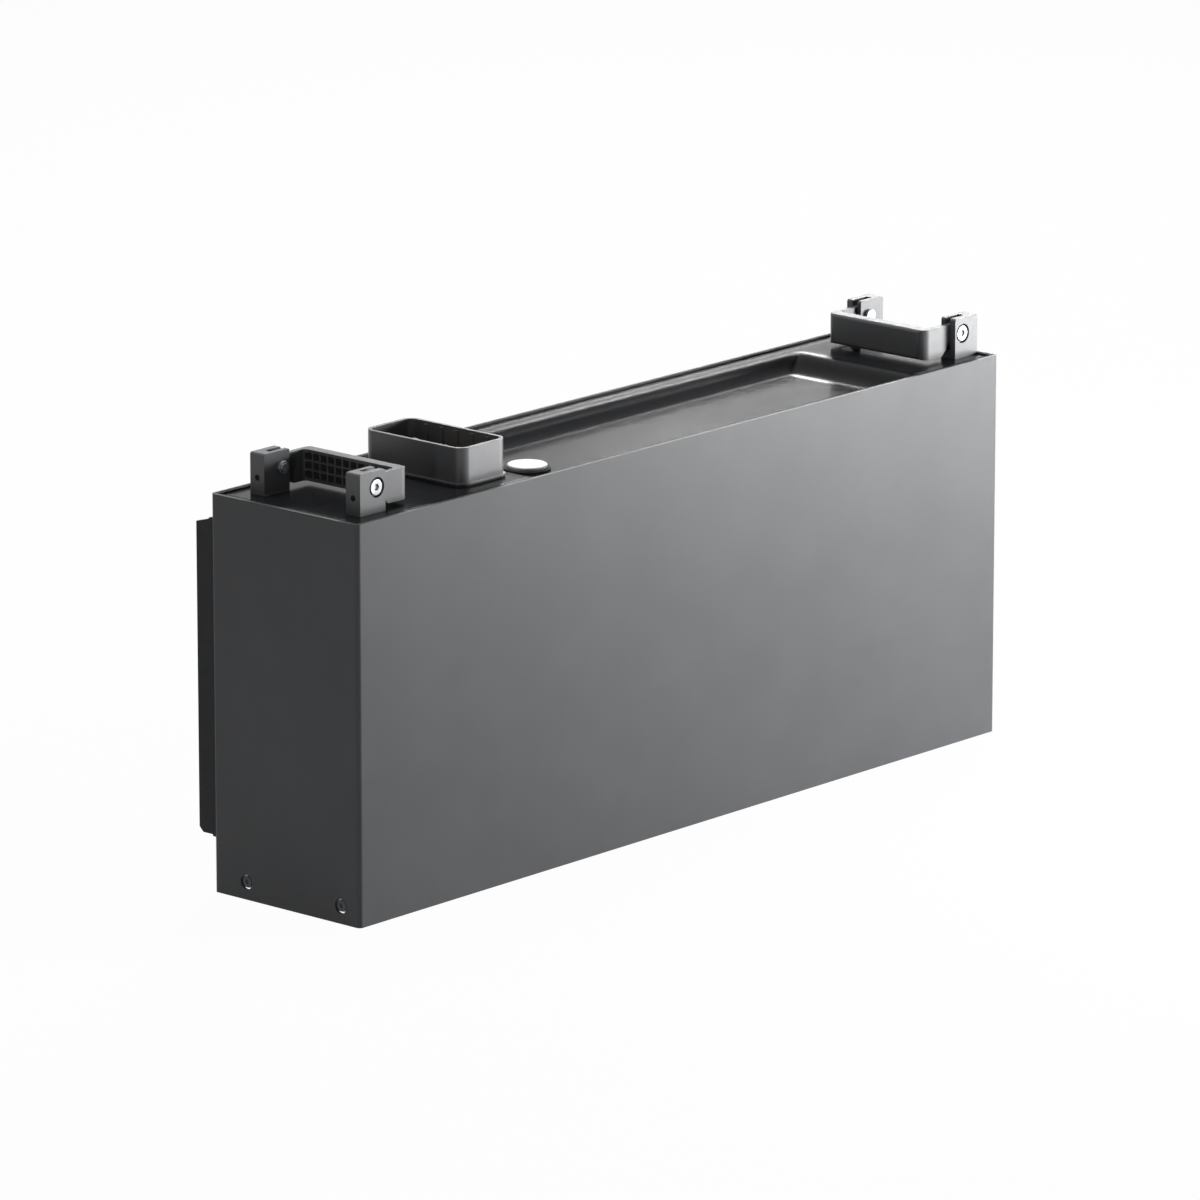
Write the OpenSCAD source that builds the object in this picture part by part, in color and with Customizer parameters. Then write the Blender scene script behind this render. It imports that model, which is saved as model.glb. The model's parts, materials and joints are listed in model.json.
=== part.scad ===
// Home battery module: a slim stacking box with a recessed top, two folding carry
// handles, a plug tower on top, a matching socket underneath and a finned back.
// Millimetres. X runs along the width, the large front face looks towards -Y, +Z is up.
// The origin is at the bottom centre of the whole module.

/* [Housing] */
// Width of the housing sleeve
body_w = 670; // [600:5:740]
// Depth of the housing sleeve, without the finned back
body_d = 134.5; // [126:0.5:160]
// Height of the housing sleeve
body_h = 278; // [250:2:340]
// Thickness of the sleeve's sheet
wall_t = 2; // [1.5:0.1:2.6]
// Outer radius of the sleeve's upright edges
corner_r = 3.1; // [2.2:0.1:6]

/* [Top cover] */
// Depth of the cover's raised ends below the sleeve's rim
cover_drop = 1.5; // [0.8:0.1:3]
// Thickness of the cover's sheet
cover_t = 2; // [1.5:0.1:2.5]
// Height of the cover's turned-down edge
cover_skirt_h = 12; // [10:0.5:14]
// Gap between the cover's edge and the sleeve, filled by the seal
cover_gap = 0.6; // [0.4:0.1:1]
// Width of the seal's lip, which lies on the cover's edge inside the rim
seal_lip_w = 2; // [1.2:0.1:2.4]
// Depth of the central basin
basin_depth = 10.5; // [8:0.5:12]
// Flat margin between the plug tower and the basin
basin_margin = 9; // [6:1:14]
// Distance from the right end of the housing to the top of the basin's slope
basin_right = 80; // [70:1:100]
// Length of the basin's right slope
slope_len = 30; // [24:1:40]
// Width of the basin's rear cove
cove_w = 15; // [13:0.5:20]
// Width of the ledge behind the cove, from the housing's back face
ledge_d = 18; // [14:1:24]

/* [Carry handles] */
// Distance from the left end of the housing to the left ears
left_ear_x = 21; // [16:1:26]
// Distance from the right end of the housing to the right ears
right_ear_x = 2.8; // [2.7:0.1:8]
// Length of an ear along the housing
ear_w = 24.8; // [23:0.2:28]
// Height of an ear above the cover
ear_h = 29.1; // [26:0.5:34]
// Thickness of an ear's outer cheek
ear_outer_t = 5; // [4:0.2:6]
// Thickness of an ear's inner cheek
ear_inner_t = 3.4; // [3:0.2:5]
// Height of the pivot above the cover
pivot_h = 17.7; // [16:0.1:20]
// Distance from an ear's end face to the pivot
pivot_x = 16.4; // [15.5:0.1:17.5]
// Radius of the pivot screw
pivot_r = 3; // [2.4:0.1:3.6]
// Radius of a handle's hub
hub_r = 7; // [6:0.1:8]
// Outer width of a handle
handle_w = 90; // [80:1:92]
// Reach of a handle, from its pivot to the grip's outer face
handle_reach = 37.4; // [34:0.2:44]
// Thickness of a handle's arm
arm_t = 4; // [3:0.2:5]
// Depth of the grip
grip_t = 10; // [8:0.5:13]
// Radius of the grip's upright outer edges
grip_r = 7; // [5:0.5:9]
// Gap between a folded handle and the cover
rest_gap = 2.8; // [2:0.1:4]
// Width of the notch between an ear and the arm's deep part
notch_w = 2.8; // [2:0.2:5]
// Chamfer of the deep part's lower corner, beside the notch
notch_chamfer = 5.5; // [3:0.5:6]
// Thickness of the grip's ribs
rib_t = 1.4; // [1:0.1:1.8]
// Thickness of the grip's outer skin
skin_t = 2.5; // [2:0.1:3.5]

/* [Plug tower] */
// Distance from the left end of the housing to the tower's middle
tower_x = 150; // [140:1:165]
// Width of the tower
tower_w = 47.5; // [44:0.5:54]
// Length of the tower, front to back
tower_d = 90; // [80:1:100]
// Height of the tower's rim above the cover
tower_h = 26.8; // [25:0.2:30]
// Thickness of the tower's wall
tower_wall = 2.6; // [2:0.1:3.5]
// Outer radius of the tower's upright edges
tower_r = 8.5; // [6:0.5:11]
// Radius of a power pin
pin_r = 4; // [3:0.1:5]
// Distance from the tower's middle to each power pin
pin_offset = 20; // [16:1:23]
// Gap between the tower's wall and the plug of the module above
mate_gap = 1; // [0.6:0.1:1.6]

/* [Vent] */
// Distance from the left end of the housing to the vent
vent_x = 228; // [215:1:300]
// Distance from the front face to the vent
vent_y = 54; // [40:1:70]
// Radius of the vent's cap
vent_r = 14; // [12:0.5:16]
// Height of the vent's cap above the basin
vent_h = 3.9; // [3.4:0.1:5]

/* [Base pan] */
// Thickness of the base pan's sheet
pan_t = 2; // [1.5:0.1:2.5]
// Height of the base pan's turned-down edge
pan_skirt_h = 22; // [20:0.5:24]
// Clear height left over the ears of the module below
nest_gap = 2.4; // [1:0.1:5]
// Height of the pressed beads in the pan
bead_h = 3; // [2:0.1:4]
// Height of the end screws above the bottom rim
end_screw_z = 12.4; // [12:0.1:16]

/* [Finned back] */
// Depth of the finned back behind the housing
sink_d = 15.5; // [13:0.5:22]
// Thickness of its base plate
sink_plate_t = 3; // [2.5:0.1:4]
// Height of its lower edge above the bottom rim
sink_z = 38; // [36:0.5:50]
// Distance from its upper edge to the top rim
sink_top = 17.6; // [16:0.2:24]
// Inset of its sides from the ends of the housing
sink_inset = 2; // [0:0.5:6]
// Thickness of a fin
fin_t = 2.5; // [2:0.1:3]
// Spacing of the fins
fin_pitch = 12; // [11.5:0.5:16]
// Chamfer at the lower end of each fin
fin_chamfer = 3.5; // [2:0.5:6]

/* [Battery pack] */
// Depth of a cell
cell_d = 118; // [90:1:118]
// Room between the tops of the cells and the housing's rim
head_room = 45; // [42:1:60]
// Thickness of the sheets between the cells
spacer_t = 1; // [0.6:0.1:2]
// Thickness of the pack's end plates
end_plate_t = 8; // [6:0.5:12]
// Room between the plug tower and the pack
bay_margin = 8; // [7.5:0.5:12]
// Thickness of the foam mat under the cells
mat_t = 3; // [2:0.5:4]
// Thickness of the steel straps around the pack
strap_t = 0.8; // [0.6:0.1:1.2]

/* [Hidden] */
CELLS = 12;
$fn = 64;

// Clearances shared by pieces that fit each other
fit_gap = 0.2;
side_gap = 0.3;
stop_gap = 0.3;
stack_gap = 0.05;
thread_gap = 0.05;
run_gap = 0.05;

// Housing frame: the whole depth, with the fins, is centred on Y = 0
y_front = -(body_d + sink_d) / 2;
y_back = y_front + body_d;
y_mid = y_front + body_d / 2;
x_left = -body_w / 2;
x_right = body_w / 2;
inner_w = body_w - 2 * wall_t;
inner_d = body_d - 2 * wall_t;
inner_r = max(corner_r - wall_t, 0.4);

// Top cover
deck_z = body_h - cover_drop;
deck_under = deck_z - cover_t;
cover_w = inner_w - 2 * cover_gap;
cover_d = inner_d - 2 * cover_gap;
cover_r = max(inner_r - cover_gap, 0.2);
seal_lip_h = cover_drop - 0.3;
seal_lip_r = max(inner_r - seal_lip_w, 0.2);
basin_z = deck_z - basin_depth;
basin_x0 = x_left + tower_x + tower_w / 2 + basin_margin;
basin_x1 = x_right - basin_right;
basin_y0 = y_mid - cover_d / 2 + cover_t;
basin_y1 = y_back - ledge_d;
cove_lip_r = 4;
slope_lip_r = 20;
left_wall_foot_r = 4;
left_wall_lip_r = 3;

// Ears and handles, measured from the cover, an ear's end face and the middle line
arm_y1 = handle_w / 2;
arm_y0 = arm_y1 - arm_t;
slot_y1 = arm_y1 + side_gap;
slot_y0 = arm_y0 - side_gap;
ear_y1 = slot_y1 + ear_outer_t;
ear_y0 = slot_y0 - ear_inner_t;
ear_mid_y = (ear_y0 + ear_y1) / 2;
web_t = pivot_x - hub_r - stop_gap;
tail_drop = 6;
tail_swing_r = norm([hub_r, tail_drop]);
ear_floor_h = pivot_h - tail_swing_r - 3;
handle_drop = pivot_h - rest_gap;
lobe_x = ear_w - pivot_x + notch_w;
ear_edge_r = 1.6;
lobe_r = 2.5;
grip_flange_t = 2.2;
grip_rows = 3;
grip_cols = 12;
pocket_span = 2 * arm_y0 - 1.4;
pivot_head_r = pivot_r + 2.5;
pivot_head_h = 2.3;
counterbore_r = pivot_head_r + 1.5;
pivot_nut_r = pivot_r + 1.5;
pivot_nut_h = 3;
link_hole_r = 2.1;
link_hole_h = 12.1;
link_hole_len = 6;
ear_screw_r = 2;
ear_screw_xs = [7, 19];

// Plug tower and the socket underneath
tower_cx = x_left + tower_x;
gasket_t = 1.2;
tower_z0 = deck_z + gasket_t;
tower_floor_z = tower_z0 + 5.3;
guide_rib_w = 3;
carrier_w = 26;
carrier_d = 62;
carrier_r = 3;
carrier_top = tower_floor_z + 5;
pin_top = deck_z + tower_h - 7.3;
pin_foot = deck_under - 12.5;
pin_shoulder_r = pin_r + 1.2;
signal_r = 0.8;
tower_screw_r = 1.5;
tower_screw_x = tower_w / 2 - 5;
tower_screw_y = tower_d / 2 - 6;
nest_h = ear_h - cover_drop + nest_gap;
pan_z1 = nest_h + pan_t;
plug_w = tower_w - 2 * tower_wall - 2 * mate_gap;
plug_d = tower_d - 2 * tower_wall - 2 * mate_gap;
plug_r = tower_r - tower_wall - mate_gap;
plug_z0 = tower_floor_z - body_h + 2.4;
socket_flange = 6;
socket_flange_t = 3;
tube_z0 = plug_z0 + 2;
tube_bore_len = 20;
signal_bore_len = 15;
tube_top = pan_z1 + socket_flange_t + 5;
tube_bore_r = pin_r + 0.15;
tube_r = pin_r + 1.5;

// Vent
vent_cx = x_left + vent_x;
vent_cy = y_front + vent_y;
vent_stem_r = 8;
vent_flange_r = vent_r - 2;
vent_ring_t = 1.3;
vent_ring_lip = 2.2;
vent_roof_t = 1.1;

// Finned back
sink_z1 = body_h - sink_top;
sink_w = body_w - 2 * sink_inset;
fin_z0 = sink_z + 1.3;
fin_z1 = sink_z1 - 4.4;
fins = round((sink_w - fin_t) / fin_pitch);
fin_step = (sink_w - fin_t) / fins;
window_w = 90;
window_h = 150;
window_z = 70;
window_cx = x_left + 62;
pedestal_h = 4;
gasket_w = 4;
gasket_depth = 1.5;
sink_screw_r = 2;
sink_screw_gaps = [1, round(fins / 4), round(fins / 2), round(fins * 3 / 4), fins - 2];

// Battery pack
bay_w = tower_x + tower_w / 2 + bay_margin - wall_t;
pack_x0 = x_left + wall_t + bay_w;
pack_x1 = x_right - wall_t - 4;
stack_x0 = pack_x0 + end_plate_t;
stack_len = pack_x1 - end_plate_t - stack_x0;
cell_pitch = stack_len / CELLS;
cell_t = cell_pitch - spacer_t - 2 * stack_gap;
cell_z0 = pan_z1 + bead_h + mat_t;
cell_z1 = body_h - head_room;
cell_h = cell_z1 - cell_z0;
terminal_r = 7;
terminal_h = 5;
terminal_y = cell_d / 2 - 22;
carrier_t = 3;
busbar_t = 2;
busbar_w = 16;
strap_h = 16;
strap_gap = 0.3;
beads = 5;
bead_pitch = 23;
bead_w = 12;

// Electronics bay
chassis_t = 1.5;
chassis_y = y_mid - 21.5;
chassis_x0 = x_left + wall_t + 5;
chassis_x1 = tower_cx - tower_w / 2 - 8;
chassis_z1 = body_h - 26;
board_t = 1.6;
standoff_h = 8;
standoff_r = 3;
board_margin = 6;
board_h = 90;
board_z1 = chassis_z1 - 10;
board_z0 = board_z1 - board_h;
pad_t = 1;
relay_inset = 28;
relay_x = chassis_x0 + relay_inset;
relay_y = chassis_y - 17;
relay_lift = 30;
relay_z0 = pan_z1 + relay_lift;
relay_w = 36;
relay_h = 44;
relay_z1 = relay_z0 + relay_h;
relay_post_h = 5;
fuse_inset = 24;
fuse_r = 9;
fuse_h = 50;
fuse_clip_t = 8;
lead_r = 5;
lug_sleeve_r = 6;
lug_sleeve_len = 12;
lead_rise = 30;

// Screws of the housing
end_screw_r = 2;
end_screw_head_r = 4;
end_screw_hole_r = 5.2;
end_screw_sunk = 0.8;
left_end_screw_ys = [-49.6, 37.4];
right_end_screw_ys = [-20, 20];
back_screw_r = 1.5;
back_screw_head_r = 2.8;
back_screw_head_h = 2;
back_screw_z = 24;
sink_screw_head_r = 3.6;
sink_screw_head_h = 2.2;
ear_screw_head_r = 3;
ear_screw_head_h = 2.4;
tower_screw_head_r = 2.7;
tower_screw_head_h = 2.2;
screw_tip = 2;

// Painted and moulded colours
dark_paint = [0.23, 0.235, 0.24];
black_plastic = [0.13, 0.13, 0.14];
zinc = [0.72, 0.73, 0.75];
brass = [0.8, 0.66, 0.35];
white_plastic = [0.9, 0.9, 0.88];
rubber_black = [0.07, 0.07, 0.07];
cell_blue = [0.2, 0.36, 0.58];
orange_sleeve = [0.85, 0.4, 0.1];
board_green = [0.1, 0.36, 0.22];

// General shapes
module block(x0, x1, y0, y1, z0, z1) {
    translate([x0, y0, z0])
        cube([x1 - x0, y1 - y0, z1 - z0]);
}

module rounded_rect(w, d, r) {
    square([w - 2 * r, d], center = true);
    square([w, d - 2 * r], center = true);
    for (sx = [-1, 1], sy = [-1, 1])
        translate([sx * (w / 2 - r), sy * (d / 2 - r)])
            circle(r);
}

module rounded_bar(x0, x1, y0, y1, r) {
    translate([(x0 + x1) / 2, (y0 + y1) / 2])
        rounded_rect(x1 - x0, y1 - y0, r);
}

// An outline in Y and Z, drawn out along X
module along_x(x0, len) {
    translate([x0, 0, 0])
        rotate([90, 0, 90])
            linear_extrude(len)
                children();
}

// An outline in X and Z, drawn out along Y
module along_y(y0, len) {
    translate([0, y0 + len, 0])
        rotate([90, 0, 0])
            linear_extrude(len)
                children();
}

// An outline in X and Y, drawn out along Z
module along_z(z0, len) {
    translate([0, 0, z0])
        linear_extrude(len)
            children();
}

module rod_x(x0, y, z, r, len) {
    along_x(x0, len)
        translate([y, z])
            circle(r);
}

module rod_y(x, y0, z, r, len) {
    along_y(y0, len)
        translate([x, z])
            circle(r);
}

module rod_z(x, y, z0, r, len) {
    translate([x, y, z0])
        cylinder(r = r, h = len);
}

// A round cable from point to point, with ball corners
module cable(points, r) {
    for (i = [0:len(points) - 2]) {
        v = points[i + 1] - points[i];
        translate(points[i])
            rotate([0, acos(v.z / norm(v)), atan2(v.y, v.x)])
                cylinder(r = r, h = norm(v));
    }
    if (len(points) > 2)
        for (i = [1:len(points) - 2])
            translate(points[i])
                sphere(r);
}

module housing_plan(w, d, r) {
    translate([0, y_mid])
        rounded_rect(w, d, r);
}

function arc(c, r, a0, a1, n = 14) =
    [for (i = [0:n]) c + r * [cos(a0 + (a1 - a0) * i / n), sin(a0 + (a1 - a0) * i / n)]];

// A slope with a hollow foot and a round lip, from a floor up to the deck, moved
// outwards by o. The lip ends at [u1, deck_z].
function s_curve(u1, run, lip_r, o) =
    let (turn = 2 * atan(basin_depth / run), foot_r = run / sin(turn) - lip_r)
    concat(arc([u1 - run, basin_z + foot_r], foot_r + o, -90, -90 + turn),
        arc([u1, deck_z - lip_r], lip_r - o, 90 + turn, 90));

// The basin of the cover as a solid, grown by o for its underside
module basin(o) {
    roof = deck_z + 10;
    intersection() {
        along_x(x_left, body_w)
            polygon(concat([[basin_y0 - o, roof], [basin_y0 - o, basin_z - o]],
                s_curve(basin_y1, cove_w, cove_lip_r, o), [[basin_y1, roof]]));
        along_y(y_front, body_d)
            polygon(concat([[basin_x0 - left_wall_lip_r, roof]],
                arc([basin_x0 - left_wall_lip_r, deck_z - left_wall_lip_r],
                    left_wall_lip_r - o, 90, 0),
                arc([basin_x0 + left_wall_foot_r, basin_z + left_wall_foot_r],
                    left_wall_foot_r + o, 180, 270),
                s_curve(basin_x1, slope_len, slope_lip_r, o), [[basin_x1, roof]]));
    }
}

// Housing
module outer_sleeve() {
    color(dark_paint)
        difference() {
            along_z(0, body_h)
                difference() {
                    housing_plan(body_w, body_d, corner_r);
                    housing_plan(inner_w, inner_d, inner_r);
                }
            for (side = [-1, 1])
                end_screw_places(side)
                    rod_x(-1, 0, 0, end_screw_hole_r, wall_t + 2);
            back_screw_places()
                rod_y(0, -wall_t - 1, 0, back_screw_r + thread_gap, wall_t + 2);
            sink_screw_places()
                rod_y(0, -wall_t - 1, 0, sink_screw_r + thread_gap, wall_t + 2);
            block(window_cx - window_w / 2, window_cx + window_w / 2, y_back - wall_t - 1,
                y_back + 1, window_z, window_z + window_h);
        }
}

module base_pan() {
    w = inner_w - 2 * fit_gap;
    d = inner_d - 2 * fit_gap;
    color(zinc)
        difference() {
            union() {
                along_z(nest_h, pan_t)
                    housing_plan(w, d, inner_r);
                along_z(nest_h - pan_skirt_h, pan_skirt_h)
                    difference() {
                        housing_plan(w, d, inner_r);
                        housing_plan(w - 2 * pan_t, d - 2 * pan_t, 0.4);
                    }
                pan_beads(0, nest_h, pan_t + bead_h);
            }
            pan_beads(pan_t, nest_h - 1, 1 + bead_h);
            along_z(nest_h - 1, pan_t + 2)
                translate([tower_cx, y_mid])
                    rounded_rect(plug_w + 2 * fit_gap, plug_d + 2 * fit_gap, plug_r);
            socket_screw_places()
                rod_z(0, 0, nest_h - 1, tower_screw_r + thread_gap, pan_t + 2);
            for (side = [-1, 1])
                end_screw_places(side)
                    rod_x(0, 0, 0, end_screw_r + thread_gap, wall_t + pan_t + 1);
            back_screw_places()
                rod_y(0, -wall_t - pan_t - 1, 0, back_screw_r + thread_gap, pan_t + 2);
            // Room for the right ears of the module below
            for (sy = [-1, 1])
                block(x_right - wall_t - fit_gap - pan_t - 1, x_right - wall_t,
                    y_mid + sy * ear_mid_y - (ear_y1 - ear_y0) / 2 - 2,
                    y_mid + sy * ear_mid_y + (ear_y1 - ear_y0) / 2 + 2, 0, nest_h - 0.5);
        }
}

// Long pressed beads that stiffen the pan and carry the mat
module pan_beads(wall, z0, h) {
    for (i = [0:beads - 1])
        along_z(z0, h)
            rounded_bar(pack_x0 + end_plate_t, pack_x1 - end_plate_t,
                y_mid + (i - (beads - 1) / 2) * bead_pitch - bead_w / 2 + wall,
                y_mid + (i - (beads - 1) / 2) * bead_pitch + bead_w / 2 - wall,
                bead_w / 2 - 0.5 - wall);
}

module end_screw_places(side) {
    for (y = side < 0 ? left_end_screw_ys : right_end_screw_ys)
        translate([side * body_w / 2, y_mid + y, end_screw_z])
            mirror([side > 0 ? 1 : 0, 0, 0])
                children();
}

module end_screws(side) {
    color(zinc)
        end_screw_places(side)
            difference() {
                union() {
                    rod_x(end_screw_sunk, 0, 0, end_screw_head_r, wall_t + fit_gap - end_screw_sunk);
                    rod_x(wall_t + fit_gap, 0, 0, end_screw_r, pan_t + screw_tip + 1);
                }
                along_x(end_screw_sunk - 0.1, 1)
                    circle(r = 1.7, $fn = 6);
            }
}

module left_end_screws() {
    end_screws(-1);
}

module right_end_screws() {
    end_screws(1);
}

module back_screw_places() {
    for (x = [-1, -0.5, 0, 0.5, 1])
        translate([x * (body_w / 2 - 8), y_back, back_screw_z])
            children();
}

module back_screws() {
    color(zinc)
        back_screw_places()
            difference() {
                union() {
                    rod_y(0, 0, 0, back_screw_head_r, back_screw_head_h);
                    rod_y(0, -wall_t - pan_t - screw_tip, 0, back_screw_r,
                        wall_t + pan_t + screw_tip);
                }
                along_y(1, 2)
                    circle(r = 1.2, $fn = 6);
            }
}

module top_cover() {
    color(dark_paint)
        difference() {
            union() {
                along_z(deck_under, cover_t)
                    housing_plan(cover_w, cover_d, cover_r);
                along_z(deck_z - cover_skirt_h, cover_skirt_h)
                    difference() {
                        housing_plan(cover_w, cover_d, cover_r);
                        housing_plan(cover_w - 2 * cover_t, cover_d - 2 * cover_t, 0.2);
                    }
                intersection() {
                    basin(cover_t);
                    along_z(0, deck_z)
                        housing_plan(cover_w, cover_d, cover_r);
                }
            }
            basin(0);
            along_z(deck_under - 1, cover_t + 2)
                translate([tower_cx, y_mid])
                    rounded_rect(carrier_w + 2 * side_gap, carrier_d + 2 * side_gap, carrier_r);
            tower_screw_places()
                rod_z(0, 0, deck_under - 1, tower_screw_r + thread_gap, cover_t + 2);
            each_ear()
                for (x = ear_screw_xs)
                    rod_z(x, -ear_mid_y, -cover_t - 1, ear_screw_r + thread_gap, cover_t + 2);
            rod_z(vent_cx, vent_cy, basin_z - cover_t - 1, vent_stem_r + fit_gap, cover_t + 2);
        }
}

module cover_seal() {
    foot_z = deck_z - cover_skirt_h + 2;
    color(rubber_black)
        difference() {
            union() {
                along_z(foot_z, deck_z + seal_lip_h - foot_z)
                    difference() {
                        housing_plan(inner_w, inner_d, inner_r);
                        housing_plan(cover_w, cover_d, cover_r);
                    }
                along_z(deck_z + stack_gap, seal_lip_h - stack_gap)
                    difference() {
                        housing_plan(inner_w, inner_d, inner_r);
                        housing_plan(inner_w - 2 * seal_lip_w, inner_d - 2 * seal_lip_w,
                            seal_lip_r);
                    }
            }
            each_ear()
                block(-side_gap, ear_w, -ear_y1 - side_gap, side_gap - ear_y0, -stack_gap, ear_h);
        }
}

// Finned back
module rear_heat_sink() {
    color(dark_paint)
        difference() {
            union() {
                block(-sink_w / 2, sink_w / 2, y_back, y_back + sink_plate_t, sink_z, sink_z1);
                for (i = [0:fins])
                    along_x(-sink_w / 2 + i * fin_step, fin_t)
                        fin_outline();
                block(window_cx - window_w / 2 + 1, window_cx + window_w / 2 - 1,
                    y_back - pedestal_h, y_back + 1, window_z + 1, window_z + window_h - 1);
            }
            gasket_ring(gasket_depth);
            sink_screw_places()
                rod_y(0, -1, 0, sink_screw_r + thread_gap, sink_plate_t + 2);
        }
}

module fin_outline() {
    tip = y_back + sink_d;
    polygon([[y_back, fin_z0], [tip - fin_chamfer, fin_z0], [tip, fin_z0 + fin_chamfer],
        [tip, fin_z1], [y_back, sink_z1]]);
}

module gasket_ring(depth) {
    difference() {
        block(window_cx - window_w / 2 - gasket_w - 3, window_cx + window_w / 2 + gasket_w + 3,
            y_back, y_back + depth, window_z - gasket_w - 3, window_z + window_h + gasket_w + 3);
        block(window_cx - window_w / 2 - 3, window_cx + window_w / 2 + 3,
            y_back - 1, y_back + depth + 1, window_z - 3, window_z + window_h + 3);
    }
}

module sink_gasket() {
    color(rubber_black)
        gasket_ring(gasket_depth);
}

// The screws stand midway between two fins, near the upper and lower edges
module sink_screw_places() {
    for (i = sink_screw_gaps, z = [sink_z + 9, sink_z1 - 10])
        translate([-sink_w / 2 + fin_t / 2 + (i + 0.5) * fin_step, y_back, z])
            children();
}

module sink_screws() {
    color(zinc)
        sink_screw_places()
            difference() {
                union() {
                    rod_y(0, sink_plate_t, 0, sink_screw_head_r, sink_screw_head_h);
                    rod_y(0, -wall_t - screw_tip, 0, sink_screw_r,
                        sink_plate_t + wall_t + screw_tip);
                }
                along_y(sink_plate_t + 1, 2)
                    circle(r = 1.6, $fn = 6);
            }
}

// Carry handles. An ear is drawn for the front left corner, with its end face at X = 0,
// the cover at Z = 0 and the middle line of the housing at Y = 0.
module at_ear(sx, sy) {
    translate([sx < 0 ? x_left + left_ear_x : x_right - right_ear_x, y_mid, deck_z])
        mirror([sx > 0 ? 1 : 0, 0, 0])
            mirror([0, sy > 0 ? 1 : 0, 0])
                children();
}

module each_ear() {
    for (sx = [-1, 1], sy = [-1, 1])
        at_ear(sx, sy)
            children();
}

module ear() {
    color(dark_paint)
        difference() {
            along_y(-ear_y1, ear_y1 - ear_y0)
                union() {
                    rounded_bar(0, ear_w, ear_edge_r, ear_h, ear_edge_r);
                    square([ear_w, 3 * ear_edge_r]);
                }
            block(web_t, ear_w + 1, -slot_y1, -slot_y0, ear_floor_h, ear_h + 1);
            rod_y(pivot_x, -ear_y1 - 1, pivot_h, pivot_r + thread_gap, ear_y1 - ear_y0 + 2);
            rod_y(pivot_x, -ear_y1 - 1, pivot_h, counterbore_r, 1 + side_gap + pivot_head_h);
            rod_x(-1, -ear_mid_y, link_hole_h, link_hole_r, 1 + link_hole_len);
            for (x = ear_screw_xs)
                rod_z(x, -ear_mid_y, -1, ear_screw_r + thread_gap, ear_floor_h);
        }
}

module front_left_ear() {
    at_ear(-1, -1)
        ear();
}

module rear_left_ear() {
    at_ear(-1, 1)
        ear();
}

module front_right_ear() {
    at_ear(1, -1)
        ear();
}

module rear_right_ear() {
    at_ear(1, 1)
        ear();
}

module ear_screws() {
    color(zinc)
        each_ear()
            for (x = ear_screw_xs) {
                rod_z(x, -ear_mid_y, -cover_t - ear_screw_head_h, ear_screw_head_r, ear_screw_head_h);
                rod_z(x, -ear_mid_y, -cover_t, ear_screw_r, cover_t + ear_floor_h - 1.3);
            }
}

module pivot_screws() {
    seat = -ear_y1 + side_gap;
    color(zinc)
        each_ear()
            difference() {
                union() {
                    rod_y(pivot_x, seat, pivot_h, pivot_head_r, pivot_head_h);
                    rod_y(pivot_x, seat, pivot_h, pivot_r, -ear_y0 + pivot_nut_h + 0.6 - seat);
                }
                along_y(seat - 1, 2.3)
                    translate([pivot_x, pivot_h])
                        circle(r = 2.4, $fn = 6);
            }
}

module pivot_nuts() {
    color(zinc)
        each_ear()
            difference() {
                rod_y(pivot_x, -ear_y0, pivot_h, pivot_nut_r, pivot_nut_h);
                rod_y(pivot_x, -ear_y0 - 1, pivot_h, pivot_r + thread_gap, pivot_nut_h + 2);
            }
}

// Seen from above: two arms and the grip between them
module bail_plan() {
    difference() {
        rounded_bar(-hub_r - 20, handle_reach, -arm_y1, arm_y1, grip_r);
        rounded_bar(-hub_r - 30, handle_reach - grip_t, -arm_y0, arm_y0, 3);
    }
}

// Seen from the front: hub with its square stop, slim neck and deep part
module bail_side() {
    circle(hub_r);
    translate([-hub_r, -tail_drop])
        square([hub_r, tail_drop]);
    translate([0, -hub_r])
        square([handle_reach - lobe_r, 2 * hub_r]);
    difference() {
        rounded_bar(lobe_x, handle_reach, -handle_drop, hub_r, lobe_r);
        translate([lobe_x, -handle_drop])
            polygon([[-1, -1], [notch_chamfer, -1], [notch_chamfer, 0], [0, notch_chamfer],
                [-1, notch_chamfer]]);
    }
}

// Moulding pockets that leave a grid of ribs on the grip's inner side
module grip_pockets() {
    row_h = (hub_r + handle_drop - 2 * grip_flange_t - (grip_rows - 1) * rib_t) / grip_rows;
    col_w = (pocket_span - (grip_cols - 1) * rib_t) / grip_cols;
    for (row = [0:grip_rows - 1], col = [0:grip_cols - 1])
        translate([handle_reach - grip_t - 1, -pocket_span / 2 + col * (col_w + rib_t),
            -handle_drop + grip_flange_t + row * (row_h + rib_t)])
            cube([grip_t + 1 - skin_t, col_w, row_h]);
}

module bail(sx) {
    color(dark_paint)
        at_ear(sx, -1)
            translate([pivot_x, 0, pivot_h])
                difference() {
                    intersection() {
                        along_z(-handle_drop - 1, handle_drop + hub_r + 2)
                            bail_plan();
                        along_y(-arm_y1 - 1, 2 * arm_y1 + 2)
                            bail_side();
                    }
                    grip_pockets();
                    rod_y(0, -arm_y1 - 1, 0, pivot_r + run_gap, 2 * arm_y1 + 2);
                }
}

module left_handle() {
    bail(-1);
}

module right_handle() {
    bail(1);
}

// Plug tower
module tower_outline(w, d, r) {
    translate([tower_cx, y_mid])
        rounded_rect(w, d, r);
}

module tower_screw_places() {
    for (sx = [-1, 1], sy = [-1, 1])
        translate([tower_cx + sx * tower_screw_x, y_mid + sy * tower_screw_y, 0])
            children();
}

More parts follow.
